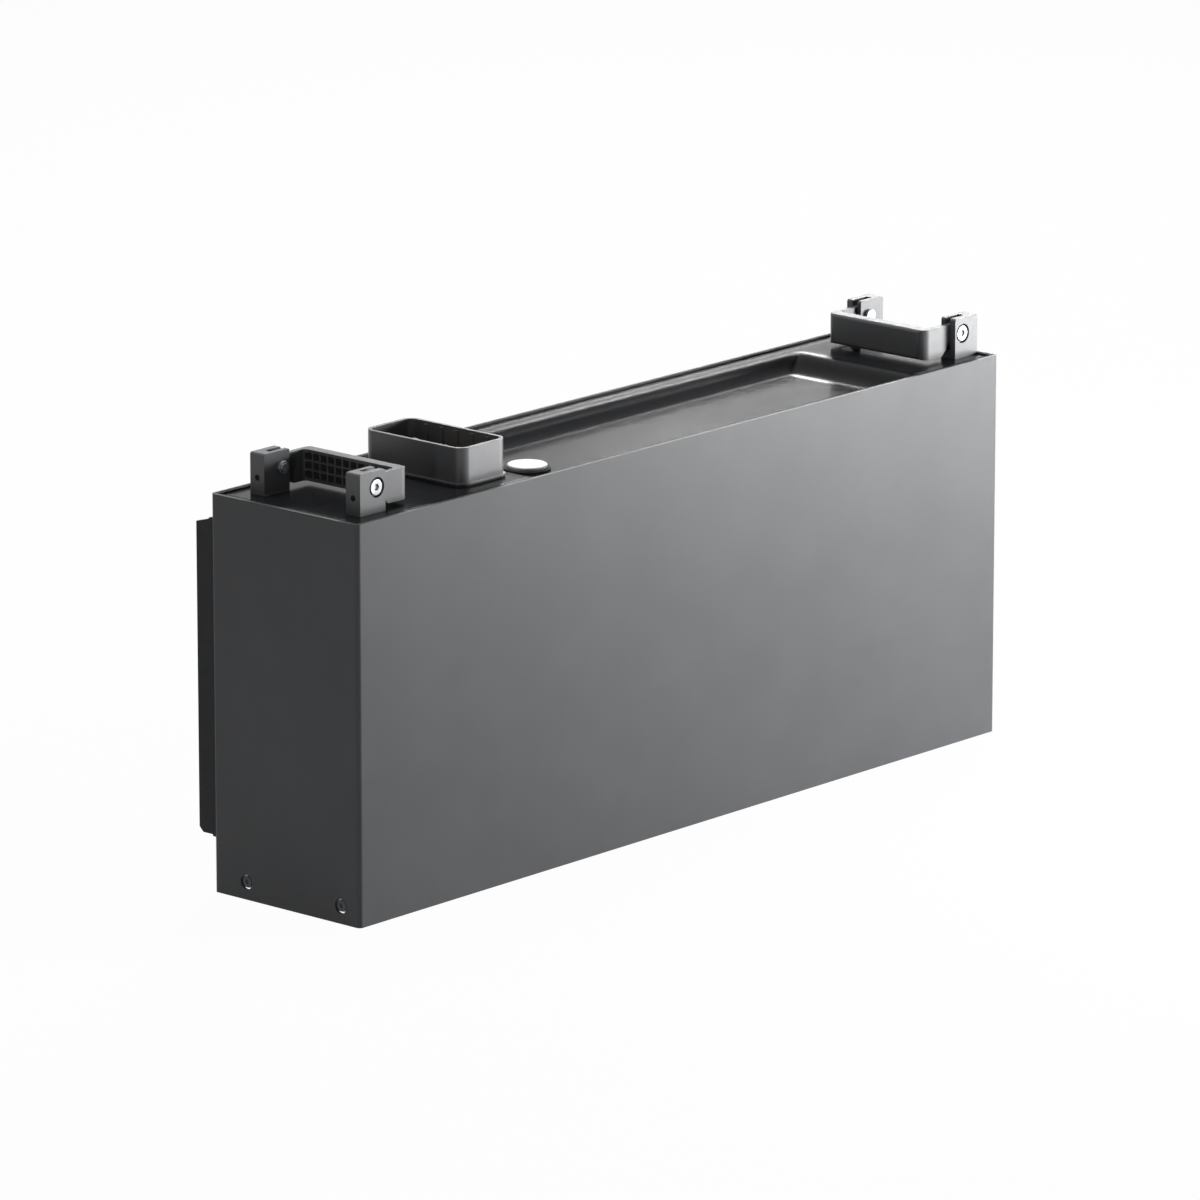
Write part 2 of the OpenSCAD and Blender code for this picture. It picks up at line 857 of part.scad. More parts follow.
module connector_shroud() {
    top = deck_z + tower_h;
    inner_x = tower_w / 2 - tower_wall;
    color(black_plastic)
        difference() {
            union() {
                difference() {
                    union() {
                        along_z(tower_z0, top - tower_z0)
                            tower_outline(tower_w, tower_d, tower_r);
                        along_z(tower_z0, 1.2)
                            tower_outline(tower_w + 3, tower_d + 3, tower_r + 1.5);
                    }
                    along_z(tower_floor_z, tower_h)
                        tower_outline(tower_w - 2 * tower_wall, tower_d - 2 * tower_wall,
                            tower_r - tower_wall);
                }
                // Guide ribs inside the tower, thinner than the gap round the plug
                for (sx = [-1, 1], y = [-28, -14, 0, 14, 28])
                    block(tower_cx + sx * inner_x - mate_gap * 0.7,
                        tower_cx + sx * inner_x + mate_gap * 0.7, y_mid + y - guide_rib_w / 2,
                        y_mid + y + guide_rib_w / 2, tower_floor_z - 1, top - 2);
            }
            along_z(tower_z0 - 1, tower_floor_z)
                tower_outline(carrier_w + 2 * side_gap, carrier_d + 2 * side_gap, carrier_r);
            tower_screw_places()
                rod_z(0, 0, tower_z0 - 1, tower_screw_r + thread_gap, 5.2);
        }
}

module connector_gasket() {
    color(rubber_black)
        difference() {
            along_z(deck_z, gasket_t)
                tower_outline(tower_w + 2, tower_d + 2, tower_r + 1);
            along_z(deck_z - 1, gasket_t + 2)
                tower_outline(carrier_w + 2 * side_gap, carrier_d + 2 * side_gap, carrier_r);
            tower_screw_places()
                rod_z(0, 0, deck_z - 1, tower_screw_r + thread_gap, gasket_t + 2);
        }
}

module contact_carrier() {
    color(black_plastic)
        difference() {
            union() {
                along_z(deck_under - 10, carrier_top - deck_under + 10)
                    tower_outline(carrier_w, carrier_d, carrier_r);
                along_z(deck_under - 2.5, 2.5)
                    tower_outline(carrier_w + 6, carrier_d + 6, carrier_r);
            }
            power_pin_places()
                rod_z(0, 0, deck_under - 11, pin_shoulder_r + thread_gap, tower_h + 20);
            signal_pin_places()
                rod_z(0, 0, deck_under - 11, signal_r + thread_gap, tower_h + 20);
        }
}

module power_pin_places() {
    for (sy = [-1, 1])
        translate([tower_cx, y_mid + sy * pin_offset, 0])
            children();
}

module signal_pin_places() {
    for (x = [-6, -2, 2, 6], y = [-3, 3])
        translate([tower_cx + x, y_mid + y, 0])
            children();
}

module power_pins() {
    color(brass)
        power_pin_places() {
            rod_z(0, 0, pin_foot, pin_shoulder_r, carrier_top - pin_foot);
            rod_z(0, 0, carrier_top, pin_r, pin_top - 1 - carrier_top);
            translate([0, 0, pin_top - 1])
                cylinder(r1 = pin_r, r2 = pin_r - 1, h = 1);
        }
}

module signal_pins() {
    color(brass)
        signal_pin_places()
            rod_z(0, 0, deck_under - 12, signal_r, pin_top - 3 - deck_under + 12);
}

module shroud_screws() {
    color(zinc)
        tower_screw_places() {
            rod_z(0, 0, deck_under - tower_screw_head_h, tower_screw_head_r, tower_screw_head_h);
            rod_z(0, 0, deck_under, tower_screw_r, tower_z0 + 4 - deck_under);
        }
}

// Socket for the tower of the module below
module socket_screw_places() {
    for (sx = [-1, 1], sy = [-1, 1])
        translate([tower_cx + sx * (plug_w / 2 + 3), y_mid + sy * (plug_d / 2 - 8), 0])
            children();
}

module socket_body() {
    color(black_plastic)
        difference() {
            union() {
                along_z(plug_z0, pan_z1 - plug_z0)
                    tower_outline(plug_w, plug_d, plug_r);
                along_z(pan_z1, socket_flange_t)
                    tower_outline(plug_w + 2 * socket_flange, plug_d + 2 * socket_flange, plug_r);
            }
            power_pin_places() {
                rod_z(0, 0, plug_z0 - 1, tube_bore_r, tube_z0 - plug_z0 + 2);
                rod_z(0, 0, tube_z0, tube_r + thread_gap, tube_top);
            }
            signal_pin_places()
                rod_z(0, 0, plug_z0 - 1, signal_r + side_gap, signal_bore_len + 1);
            socket_screw_places()
                rod_z(0, 0, pan_z1 - 1, tower_screw_r + thread_gap, socket_flange_t + 2);
        }
}

module socket_tubes() {
    color(brass)
        power_pin_places()
            difference() {
                rod_z(0, 0, tube_z0, tube_r, tube_top - tube_z0);
                rod_z(0, 0, tube_z0 - 1, tube_bore_r, tube_bore_len + 1);
            }
}

module socket_screws() {
    color(zinc)
        socket_screw_places() {
            rod_z(0, 0, pan_z1 + socket_flange_t, tower_screw_head_r, tower_screw_head_h);
            rod_z(0, 0, nest_h - 1, tower_screw_r, pan_t + 1 + socket_flange_t);
        }
}

// Vent
module vent_cap() {
    edge = 1.1;
    foot = vent_ring_t + fit_gap;
    color(white_plastic)
        translate([vent_cx, vent_cy, basin_z])
            rotate_extrude()
                difference() {
                    union() {
                        translate([0, foot])
                            square([vent_r, vent_h - edge - foot]);
                        translate([0, foot])
                            square([vent_r - edge, vent_h - foot]);
                        translate([vent_r - edge, vent_h - edge])
                            circle(edge);
                    }
                    translate([-1, -1])
                        square([vent_flange_r + 0.4 + 1, 1 + vent_h - vent_roof_t]);
                }
}

module vent_ring() {
    color(rubber_black)
        translate([vent_cx, vent_cy, basin_z])
            difference() {
                rod_z(0, 0, 0, vent_r + vent_ring_lip, vent_ring_t);
                rod_z(0, 0, -1, vent_stem_r + 0.6, vent_ring_t + 2);
            }
}

module vent_body() {
    color(black_plastic)
        translate([vent_cx, vent_cy, basin_z])
            difference() {
                union() {
                    rod_z(0, 0, -cover_t - 5, vent_stem_r, cover_t + 5 + vent_ring_t);
                    rod_z(0, 0, vent_ring_t, vent_flange_r, vent_h - vent_roof_t - vent_ring_t);
                    rod_z(0, 0, -cover_t - 2.6, vent_stem_r + 1.5, 2.4);
                }
                rod_z(0, 0, -cover_t - 6, 4, cover_t + 6 + 1);
            }
}

// Battery pack
module cell(i) {
    x0 = stack_x0 + (i - 1) * cell_pitch + spacer_t / 2 + stack_gap;
    color(cell_blue) {
        along_z(cell_z0, cell_h)
            rounded_bar(x0, x0 + cell_t, y_mid - cell_d / 2, y_mid + cell_d / 2, 1.5);
        for (sy = [-1, 1])
            rod_z(x0 + cell_t / 2, y_mid + sy * terminal_y, cell_z1 - 0.1, terminal_r,
                terminal_h + 0.1);
    }
}

module cell_spacers() {
    color(white_plastic)
        for (i = [1:CELLS - 1])
            block(stack_x0 + i * cell_pitch - spacer_t / 2,
                stack_x0 + i * cell_pitch + spacer_t / 2, y_mid - cell_d / 2 + 2,
                y_mid + cell_d / 2 - 2, cell_z0, cell_z1 - 2);
}

module end_plate(x0) {
    color(zinc)
        difference() {
            block(x0, x0 + end_plate_t, y_mid - cell_d / 2, y_mid + cell_d / 2,
                cell_z0, cell_z1);
            for (j = [0:4])
                block(x0 + 2, x0 + end_plate_t - 2, y_mid - cell_d / 2 + 8,
                    y_mid + cell_d / 2 - 8, cell_z0 + 8 + j * (cell_h - 8) / 5,
                    cell_z0 + (j + 1) * (cell_h - 8) / 5);
        }
}

module left_end_plate() {
    end_plate(pack_x0 + spacer_t / 2);
}

module right_end_plate() {
    end_plate(pack_x1 - end_plate_t - spacer_t / 2);
}

module strap(z0) {
    color(zinc)
        along_z(z0, strap_h)
            difference() {
                strap_plan(strap_gap + strap_t);
                strap_plan(strap_gap);
            }
}

module strap_plan(o) {
    rounded_bar(pack_x0 - o, pack_x1 + o, y_mid - cell_d / 2 - o, y_mid + cell_d / 2 + o,
        0.2 + o);
}

module lower_strap() {
    strap(cell_z0 + cell_h * 0.25 - strap_h / 2);
}

module upper_strap() {
    strap(cell_z0 + cell_h * 0.75 - strap_h / 2);
}

module floor_mat() {
    color(rubber_black)
        block(pack_x0, pack_x1, y_mid - cell_d / 2, y_mid + cell_d / 2, pan_z1 + bead_h,
            cell_z0);
}

module busbar_carrier() {
    color(orange_sleeve)
        difference() {
            block(pack_x0 + spacer_t, pack_x1 - spacer_t, y_mid - cell_d / 2 + 4,
                y_mid + cell_d / 2 - 4, cell_z1, cell_z1 + carrier_t);
            for (i = [0:CELLS - 1], sy = [-1, 1])
                rod_z(stack_x0 + (i + 0.5) * cell_pitch, y_mid + sy * terminal_y,
                    cell_z1 - 1, terminal_r + 0.6, carrier_t + 2);
            for (i = [0:CELLS - 1])
                rod_z(stack_x0 + (i + 0.5) * cell_pitch, y_mid, cell_z1 - 1, 6, carrier_t + 2);
        }
}

// Links that join neighbouring cells in turn at the front and the back
module busbars() {
    z0 = cell_z1 + terminal_h;
    color(brass)
        for (i = [0:CELLS - 2])
            along_z(z0, busbar_t)
                rounded_bar(stack_x0 + (i + 0.5) * cell_pitch - 8,
                    stack_x0 + (i + 1.5) * cell_pitch + 8,
                    y_mid + (i % 2 == 0 ? -1 : 1) * terminal_y - busbar_w / 2,
                    y_mid + (i % 2 == 0 ? -1 : 1) * terminal_y + busbar_w / 2, 3);
}

// Electronics bay
module riser_end(sy) {
    for (z = [tube_top, pin_foot - lug_sleeve_len])
        rod_z(tower_cx, y_mid + sy * pin_offset, z, lug_sleeve_r, lug_sleeve_len);
}

module positive_lead() {
    y = y_mid - pin_offset;
    color(orange_sleeve) {
        riser_end(-1);
        cable([[tower_cx, y, tube_top + 6], [tower_cx, y, pin_foot - 6]], lead_r);
        cable([[tower_cx, y, relay_z1 + lead_rise], [tower_cx, relay_y, relay_z1 + lead_rise],
            [relay_x + 8, relay_y, relay_z1 + lead_rise], [relay_x + 8, relay_y, relay_z1]], lead_r);
    }
}

module negative_lead() {
    y = y_mid + pin_offset;
    lug_z = cell_z1 + terminal_h;
    lug_x = stack_x0 + 0.5 * cell_pitch;
    color(rubber_black) {
        riser_end(1);
        cable([[tower_cx, y, tube_top + 6], [tower_cx, y, pin_foot - 6]], lead_r);
        cable([[tower_cx, y, lug_z + lead_r + 1],
            [lug_x, y_mid + terminal_y, lug_z + lead_r + 1]], lead_r);
        rod_z(lug_x, y_mid + terminal_y, lug_z, lug_sleeve_r, lead_r + 1);
    }
}

module bay_chassis() {
    color(zinc) {
        block(chassis_x0, chassis_x1, chassis_y, chassis_y + chassis_t, pan_z1, chassis_z1);
        block(chassis_x0, chassis_x1, chassis_y, chassis_y + 16, pan_z1, pan_z1 + chassis_t);
    }
}

module standoff_places() {
    for (x = [chassis_x0 + board_margin + 5, chassis_x1 - board_margin - 5],
        z = [board_z0 + 5, board_z1 - 5])
        translate([x, chassis_y, z])
            children();
}

module board_standoffs() {
    color(brass)
        standoff_places()
            rod_y(0, -standoff_h, 0, standoff_r, standoff_h);
}

module monitor_board() {
    face = chassis_y - standoff_h - board_t;
    color(board_green) {
        block(chassis_x0 + board_margin, chassis_x1 - board_margin, face, face + board_t,
            board_z0, board_z1);
        for (i = [0:3])
            block(chassis_x0 + 22 + i * 19, chassis_x0 + 32 + i * 19, face - 2, face,
                board_z0 + 30, board_z0 + 42);
        block(chassis_x0 + 22, chassis_x0 + 80, face - 9, face, board_z1 - 16, board_z1 - 6);
    }
}

module thermal_pad() {
    color(white_plastic)
        block(window_cx - window_w / 2 + 4, window_cx + window_w / 2 - 4,
            y_back - pedestal_h - pad_t, y_back - pedestal_h, window_z + 4,
            window_z + window_h - 4);
}

module converter_board() {
    back = y_back - pedestal_h - pad_t;
    face = back - board_t;
    x0 = window_cx - window_w / 2 + 2;
    color(board_green) {
        block(x0, window_cx + window_w / 2 - 2, face, back, window_z + 2,
            window_z + window_h - 2);
        block(x0 + 8, x0 + 48, face - 26, face, window_z + 20, window_z + 70);
        for (i = [0:2])
            rod_y(x0 + 66, face - 28, window_z + 30 + i * 24, 9, 28);
        for (i = [0:3])
            block(x0 + 8 + i * 18, x0 + 20 + i * 18, face - 5, face, window_z + 100,
                window_z + 116);
    }
}

module relay() {
    color(black_plastic) {
        block(relay_x - relay_w / 2, relay_x + relay_w / 2, relay_y - 14, chassis_y, relay_z0,
            relay_z1 - relay_post_h + 1);
        for (s = [-1, 1])
            rod_z(relay_x + s * 8, relay_y, relay_z1 - relay_post_h, 5.5, relay_post_h);
    }
}

module fuse() {
    x = chassis_x1 - fuse_inset;
    color(white_plastic) {
        rod_z(x, relay_y, relay_z0, fuse_r, fuse_h);
        for (z = [relay_z0 + 4, relay_z0 + fuse_h - 4 - fuse_clip_t])
            block(x - 5, x + 5, relay_y, chassis_y, z, z + fuse_clip_t);
    }
}

outer_sleeve();
base_pan();
top_cover();
cover_seal();
rear_heat_sink();
sink_gasket();
sink_screws();
left_end_screws();
right_end_screws();
back_screws();
front_left_ear();
rear_left_ear();
front_right_ear();
rear_right_ear();
ear_screws();
left_handle();
right_handle();
pivot_screws();
pivot_nuts();
connector_shroud();
connector_gasket();
contact_carrier();
power_pins();
signal_pins();
shroud_screws();
socket_body();
socket_tubes();
socket_screws();
vent_cap();
vent_body();
vent_ring();
floor_mat();
left_end_plate();
right_end_plate();
cell_spacers();
lower_strap();
upper_strap();
busbar_carrier();
busbars();
positive_lead();
negative_lead();
bay_chassis();
monitor_board();
board_standoffs();
converter_board();
thermal_pad();
relay();
fuse();
for (i = [1:CELLS])
    cell(i);
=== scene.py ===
"""Looks of the home battery module: coatings, rounded edges, floor, lights and camera.

Metres throughout. X runs along the width, the front face looks towards -Y, +Z is up.
"""

import json
import math

import bmesh
import bpy
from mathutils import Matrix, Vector

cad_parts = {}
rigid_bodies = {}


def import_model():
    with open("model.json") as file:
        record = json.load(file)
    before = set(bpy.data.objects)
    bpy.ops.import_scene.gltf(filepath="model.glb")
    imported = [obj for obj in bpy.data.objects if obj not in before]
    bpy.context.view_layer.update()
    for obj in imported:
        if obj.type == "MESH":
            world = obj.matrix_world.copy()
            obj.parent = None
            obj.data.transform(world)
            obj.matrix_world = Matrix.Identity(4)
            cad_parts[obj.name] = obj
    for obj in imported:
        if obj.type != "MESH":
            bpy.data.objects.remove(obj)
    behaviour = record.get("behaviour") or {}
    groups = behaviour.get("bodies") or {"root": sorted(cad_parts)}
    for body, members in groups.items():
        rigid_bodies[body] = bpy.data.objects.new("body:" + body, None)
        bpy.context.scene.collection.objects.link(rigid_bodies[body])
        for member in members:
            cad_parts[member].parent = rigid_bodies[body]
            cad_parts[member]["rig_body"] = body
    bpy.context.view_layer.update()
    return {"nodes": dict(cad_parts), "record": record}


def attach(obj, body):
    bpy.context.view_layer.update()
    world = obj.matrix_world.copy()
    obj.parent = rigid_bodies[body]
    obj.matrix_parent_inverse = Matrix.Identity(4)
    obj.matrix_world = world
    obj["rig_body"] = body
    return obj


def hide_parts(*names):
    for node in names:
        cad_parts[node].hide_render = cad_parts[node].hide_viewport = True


MM = 0.001
NOISE_LOW = 0.3
NOISE_HIGH = 0.7
SOFT_EDGE_SAMPLES = 8

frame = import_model()
nodes = frame["nodes"]


# Node graphs -----------------------------------------------------------------------


def srgb(*levels):
    """A colour given as screen levels from 0 to 255, as the shader needs it."""
    unit = [v / 255 for v in levels]
    return [v / 12.92 if v <= 0.04045 else ((v + 0.055) / 1.055) ** 2.4 for v in unit] + [1.0]


class Finish:
    """A procedural coating. Its patterns are laid out in real size on Object coordinates."""

    def __init__(self, name, rough, metal=0.0, specular=0.5):
        self.material = bpy.data.materials.new(name)
        self.material.use_nodes = True
        self.tree = self.material.node_tree
        self.shader = self.tree.nodes["Principled BSDF"]
        self.shader.inputs["Metallic"].default_value = metal
        self.shader.inputs["Roughness"].default_value = rough
        self.shader.inputs["Specular IOR Level"].default_value = specular
        self.object_coords = self.add("ShaderNodeTexCoord").outputs["Object"]
        self.normal = None

    def add(self, kind, **settings):
        node = self.tree.nodes.new(kind)
        for key, value in settings.items():
            setattr(node, key, value)
        return node

    def link(self, source, target):
        self.tree.links.new(source, target)

    def noise(self, size, detail=2.0, stretch=(1, 1, 1)):
        """Noise whose grains are about `size` metres, longer where `stretch` is above 1."""
        mapping = self.add("ShaderNodeMapping")
        mapping.inputs["Scale"].default_value = [1 / (size * s) for s in stretch]
        noise = self.add("ShaderNodeTexNoise")
        noise.inputs["Scale"].default_value = 1.0
        noise.inputs["Detail"].default_value = detail
        self.link(self.object_coords, mapping.inputs["Vector"])
        self.link(mapping.outputs["Vector"], noise.inputs["Vector"])
        return noise.outputs["Fac"]

    def spread(self, value, low, high):
        """The middle of a noise, where most of it lies, spread from `low` to `high`."""
        ramp = self.add("ShaderNodeMapRange")
        ramp.inputs["From Min"].default_value = NOISE_LOW
        ramp.inputs["From Max"].default_value = NOISE_HIGH
        ramp.inputs["To Min"].default_value = low
        ramp.inputs["To Max"].default_value = high
        self.link(value, ramp.inputs["Value"])
        return ramp.outputs["Result"]

    def colour(self, dark, light, value):
        mix = self.add("ShaderNodeMix", data_type="RGBA")
        mix.inputs["A"].default_value = dark
        mix.inputs["B"].default_value = light
        self.link(self.spread(value, 0, 1), mix.inputs["Factor"])
        self.link(mix.outputs["Result"], self.shader.inputs["Base Color"])

    def roughness(self, low, high, value):
        self.link(self.spread(value, low, high), self.shader.inputs["Roughness"])

    def soft_edges(self, radius):
        """Shading that turns evenly over `radius` at edges; the mesh keeps its form."""
        bevel = self.add("ShaderNodeBevel", samples=SOFT_EDGE_SAMPLES)
        bevel.inputs["Radius"].default_value = radius
        self.normal = bevel.outputs["Normal"]

    def bump(self, value, depth, strength=1.0):
        bump = self.add("ShaderNodeBump")
        bump.inputs["Strength"].default_value = strength
        bump.inputs["Distance"].default_value = depth
        self.link(value, bump.inputs["Height"])
        if self.normal is not None:
            self.link(self.normal, bump.inputs["Normal"])
        self.normal = bump.outputs["Normal"]
        self.link(self.normal, self.shader.inputs["Normal"])
        return self


def powder_coat(name, dark, light, specular, grain=0.5 * MM, depth=0.01 * MM, rough=(0.4, 0.46),
                soft=0.0):
    """Baked paint: fine grain over gentle waves, and clouds too faint to see as a pattern."""
    f = Finish(name, rough[0], specular=specular)
    if soft:
        f.soft_edges(soft)
    clouds = f.noise(60 * MM, 3.0)
    f.colour(dark, light, clouds)
    sheen = f.noise(9 * MM, 4.0)
    f.roughness(rough[0], rough[1], sheen)
    f.bump(f.noise(grain, 2.0), depth)
    waves = f.noise(6 * MM)
    return f.bump(waves, 4 * depth, 0.3).material


def moulded(name, dark, light, rough=(0.45, 0.58), depth=0.01 * MM):
    """Plastic from a mould with an even spark-eroded texture."""
    f = Finish(name, rough[0])
    f.colour(dark, light, f.noise(25 * MM, 3.0))
    f.roughness(rough[0], rough[1], f.noise(4 * MM, 3.0))
    return f.bump(f.noise(0.35 * MM, 2.0), depth).material


def rubber(name, dark, light):
    """Dull black rubber with a pitted skin."""
    f = Finish(name, 0.75, specular=0.3)
    f.colour(dark, light, f.noise(12 * MM, 4.0))
    f.roughness(0.68, 0.85, f.noise(3 * MM, 3.0))
    return f.bump(f.noise(0.8 * MM, 3.0), 0.03 * MM).material


def bright_metal(name, dark, light, rough, lay=(14, 1, 1)):
    """Plated or turned metal with scratches along its lay."""
    f = Finish(name, rough[0], 1.0)
    f.colour(dark, light, f.noise(8 * MM, 4.0))
    f.roughness(rough[0], rough[1], f.noise(0.5 * MM, 3.0, lay))
    return f.bump(f.noise(0.25 * MM, 2.0, lay), 0.004 * MM).material


def circuit_board(name, dark, light):
    """Solder mask over copper tracks that run at right angles."""
    f = Finish(name, 0.3)
    tracks = f.add("ShaderNodeTexBrick")
    tracks.inputs["Scale"].default_value = 1.0
    tracks.inputs["Brick Width"].default_value = 7 * MM
    tracks.inputs["Row Height"].default_value = 2.4 * MM
    tracks.inputs["Mortar Size"].default_value = 0.25 * MM
    tracks.inputs["Color1"].default_value = dark
    tracks.inputs["Color2"].default_value = dark
    tracks.inputs["Mortar"].default_value = light
    upright = f.add("ShaderNodeMapping")
    upright.inputs["Rotation"].default_value = (math.radians(90), 0, 0)
    f.link(f.object_coords, upright.inputs["Vector"])
    f.link(upright.outputs["Vector"], tracks.inputs["Vector"])
    f.link(tracks.outputs["Color"], f.shader.inputs["Base Color"])
    f.roughness(0.25, 0.4, f.noise(5 * MM, 3.0))
    return f.bump(tracks.outputs["Fac"], 0.03 * MM).material


FINISHES = {
    "housing_paint": powder_coat("housing_paint", srgb(70, 71, 73), srgb(74, 75, 77), 0.2),
    "cover_paint": powder_coat("cover_paint", srgb(32, 33, 35), srgb(36, 37, 39), 0.06,
                               0.5 * MM, 0.002 * MM, (0.15, 0.19), soft=10 * MM),
    "sink_paint": powder_coat("sink_paint", srgb(34, 35, 37), srgb(40, 41, 43), 0.15,
                              0.8 * MM, 0.03 * MM, (0.5, 0.62)),
    "handle_paint": powder_coat("handle_paint", srgb(87, 88, 90), srgb(94, 95, 97), 0.33,
                                0.4 * MM, 0.006 * MM),
    "black_plastic": moulded("black_plastic", srgb(92, 93, 95), srgb(99, 100, 102),
                             (0.3, 0.36), 0.005 * MM),
    "vent_white": moulded("vent_white", srgb(240, 240, 238), srgb(246, 246, 245), (0.3, 0.4)),
    "white_plastic": moulded("white_plastic", srgb(208, 207, 202), srgb(222, 221, 216)),
    "orange_plastic": moulded("orange_plastic", srgb(205, 98, 28), srgb(218, 112, 38)),
    "cell_wrap": moulded("cell_wrap", srgb(38, 86, 142), srgb(46, 98, 156), (0.2, 0.32), 0.02 * MM),
    "seal_rubber": rubber("seal_rubber", srgb(26, 26, 27), srgb(36, 36, 37)),
    "zinc_steel": bright_metal("zinc_steel", srgb(158, 160, 163), srgb(184, 186, 189), (0.3, 0.45)),
    "screw_steel": bright_metal("screw_steel", srgb(112, 114, 117), srgb(150, 152, 154), (0.34, 0.5)),
    "black_screw": bright_metal("black_screw", srgb(52, 53, 55), srgb(66, 67, 69), (0.35, 0.5)),
    "contact_brass": bright_metal("contact_brass", srgb(196, 160, 88), srgb(216, 182, 108),
                                  (0.18, 0.3), (1, 1, 10)),
    "end_aluminium": bright_metal("end_aluminium", srgb(186, 188, 190), srgb(206, 208, 210),
                                  (0.28, 0.42)),
    "board_green": circuit_board("board_green", srgb(18, 84, 54), srgb(56, 128, 88)),
}

SLOT_OF = {s["node"]: s["material_slot"] for s in frame["record"]["subparts"]}


def paint(obj, slot):
    obj.data.materials.clear()
    obj.data.materials.append(FINISHES[slot])


# Rounded edges ---------------------------------------------------------------------

MERGE_WITHIN = 0.002 * MM
FLAT_WITHIN = math.radians(0.5)
EDGE_BROKEN_ABOVE = math.radians(28)
EDGE_SEGMENTS = 2
SHADED_SHARP_ABOVE = math.radians(32)


def rounded_copy(node, radius):
    """The node's own shape with its hard edges broken, as coated or moulded edges are."""
    mesh = nodes[node].data.copy()
    bm = bmesh.new()
    bm.from_mesh(mesh)
    bmesh.ops.remove_doubles(bm, verts=bm.verts, dist=MERGE_WITHIN)
    bmesh.ops.dissolve_limit(bm, angle_limit=FLAT_WITHIN, verts=bm.verts, edges=bm.edges)
    hard = [e for e in bm.edges
            if len(e.link_faces) == 2 and e.calc_face_angle(0) > EDGE_BROKEN_ABOVE]
    bmesh.ops.bevel(bm, geom=hard, offset=radius, segments=EDGE_SEGMENTS, profile=0.5,
                    affect="EDGES", clamp_overlap=True, material=-1)
    bm.to_mesh(mesh)
    bm.free()
    mesh.shade_smooth()
    mesh.set_sharp_from_angle(angle=SHADED_SHARP_ABOVE)
    piece = bpy.data.objects.new(f"{node}_finished", mesh)
    bpy.context.scene.collection.objects.link(piece)
    smooth = piece.modifiers.new("even_normals", "WEIGHTED_NORMAL")
    smooth.keep_sharp = True
    paint(piece, SLOT_OF[node])
    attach(piece, nodes[node]["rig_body"])
    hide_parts(node)


for node, obj in nodes.items():
    paint(obj, SLOT_OF[node])

EDGE_RADII_MM = {
    "outer_sleeve": 0.5, "top_cover": 0.4, "rear_heat_sink": 0.4, "base_pan": 0.4,
    "front_left_ear": 0.6, "rear_left_ear": 0.6, "front_right_ear": 0.6, "rear_right_ear": 0.6,
    "left_handle": 0.35, "right_handle": 0.35, "connector_shroud": 0.4, "contact_carrier": 0.4,
    "pivot_screws": 0.35, "pivot_nuts": 0.3, "left_end_screws": 0.2, "right_end_screws": 0.2,
    "sink_screws": 0.25, "back_screws": 0.2, "socket_body": 0.4,
}
for node, radius in EDGE_RADII_MM.items():
    rounded_copy(node, radius * MM)


# Floor, backdrop and lights --------------------------------------------------------


def seen_directly(tree):
    """1 for what the camera sees, straight or in a reflection or through glass."""
    path = tree.nodes.new("ShaderNodeLightPath")
    seen = path.outputs["Is Camera Ray"]
    for name in ("Is Glossy Ray", "Is Transmission Ray"):
        either = tree.nodes.new("ShaderNodeMath")
        either.operation = "MAXIMUM"
        tree.links.new(seen, either.inputs[0])
        tree.links.new(path.outputs[name], either.inputs[1])
        seen = either.outputs["Value"]
    return seen


def graded(tree, low, high):
    """A value that is `high` where it is seen directly and `low` elsewhere."""
    grade = tree.nodes.new("ShaderNodeMapRange")
    grade.inputs["To Min"].default_value = low
    grade.inputs["To Max"].default_value = high
    tree.links.new(seen_directly(tree), grade.inputs["Value"])
    return grade.outputs["Result"]


FLOOR_HALF = 30.0
FLOOR_PAPER = srgb(228, 228, 228)
FLOOR_ROUGHNESS = 0.9
FLOOR_WHITE_SHARE = 0.97
WORLD_LIGHT = 0.0

floor_mesh = bpy.data.meshes.new("floor")
bm = bmesh.new()
bmesh.ops.create_grid(bm, x_segments=1, y_segments=1, size=FLOOR_HALF)
bm.to_mesh(floor_mesh)
bm.free()
floor = bpy.data.objects.new("floor", floor_mesh)
bpy.context.scene.collection.objects.link(floor)
paper = bpy.data.materials.new("floor_paper")
paper.use_nodes = True
paper_tree = paper.node_tree
matt = paper_tree.nodes["Principled BSDF"]
matt.inputs["Base Color"].default_value = FLOOR_PAPER
matt.inputs["Roughness"].default_value = FLOOR_ROUGHNESS
white = paper_tree.nodes.new("ShaderNodeEmission")
either = paper_tree.nodes.new("ShaderNodeMixShader")
paper_tree.links.new(graded(paper_tree, 0.0, FLOOR_WHITE_SHARE), either.inputs["Fac"])
paper_tree.links.new(matt.outputs["BSDF"], either.inputs[1])
paper_tree.links.new(white.outputs["Emission"], either.inputs[2])
paper_tree.links.new(either.outputs["Shader"], paper_tree.nodes["Material Output"].inputs["Surface"])
floor_mesh.materials.append(paper)

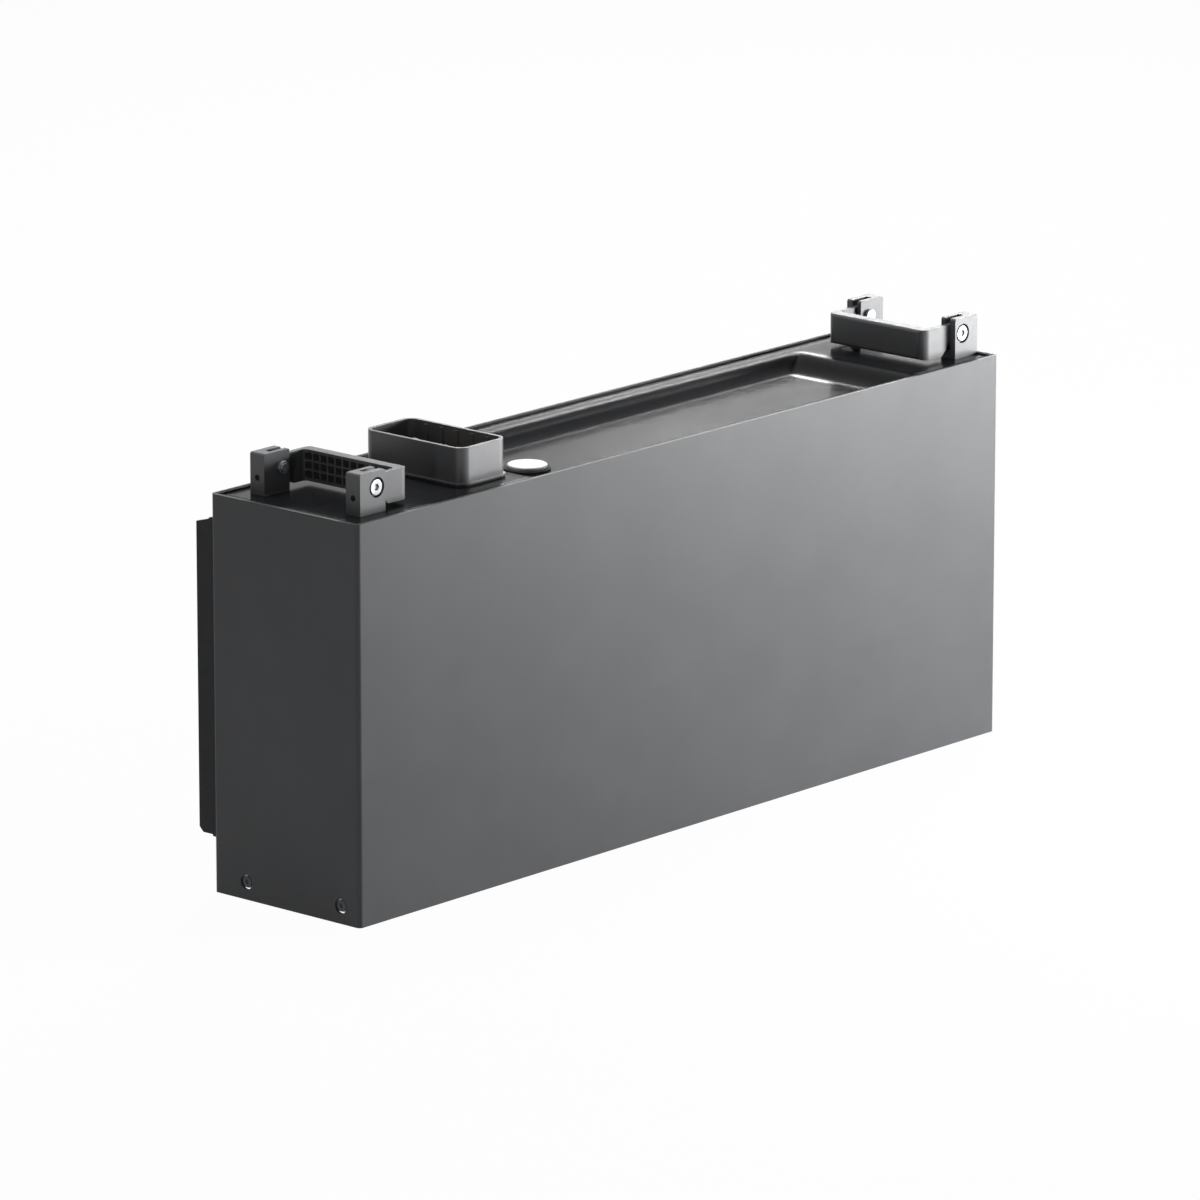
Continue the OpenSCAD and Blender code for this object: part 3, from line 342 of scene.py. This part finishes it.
world = bpy.data.worlds.new("studio")
bpy.context.scene.world = world
world.use_nodes = True
sky = world.node_tree
sky.nodes["Background"].inputs["Color"].default_value = (1, 1, 1, 1)
sky.links.new(graded(sky, WORLD_LIGHT, 1.0), sky.nodes["Background"].inputs["Strength"])


def softbox(name, place, target, size, power):
    """A rectangular area light that faces `target`; the camera doesn't see the lamp itself."""
    light = bpy.data.lights.new(name, "AREA")
    light.shape = "RECTANGLE"
    light.size, light.size_y = size
    light.energy = power
    lamp = bpy.data.objects.new(name, light)
    lamp.location = place
    lamp.visible_camera = False
    lamp.rotation_euler = (Vector(target) - Vector(place)).to_track_quat("-Z", "Y").to_euler()
    bpy.context.scene.collection.objects.link(lamp)


softbox("low_right_light", (1.06, -0.84, 0.30), (0.2, -0.05, 0.2), (0.6, 0.45), 38)
softbox("left_strip", (-1.9, -0.7, 0.42), (-0.2, -0.05, 0.25), (0.08, 0.8), 3)
softbox("left_back_light", (-1.5, 1.4, 0.75), (-0.2, 0, 0.25), (0.3, 0.5), 0.6)
softbox("right_back_light", (2.3, 1.55, 1.46), (0, 0, 0.27), (0.75, 0.45), 27)
softbox("top_light", (0.2, 0.5, 2.4), (0, 0, 0.2), (2.0, 1.4), 34)


# Camera ----------------------------------------------------------------------------

# Fitted to six corners of the housing in the photograph; angles in degrees, lens and sensor in mm.
CAMERA_PLACE = (-4.71585, -4.16778, 1.77847)
CAMERA_PITCH_DOWN = 14.513
CAMERA_YAW = -48.480
CAMERA_LENS = 280.43
CAMERA_SENSOR = 36.0
CAMERA_REACH = 100.0

view = bpy.data.cameras.new("photo_view")
view.lens = CAMERA_LENS
view.sensor_width = CAMERA_SENSOR
view.clip_end = CAMERA_REACH
camera = bpy.data.objects.new("photo_view", view)
camera.location = CAMERA_PLACE
camera.rotation_euler = (math.radians(90 - CAMERA_PITCH_DOWN), 0, math.radians(CAMERA_YAW))
bpy.context.scene.collection.objects.link(camera)
bpy.context.scene.camera = camera
bpy.context.scene.view_settings.view_transform = "Standard"
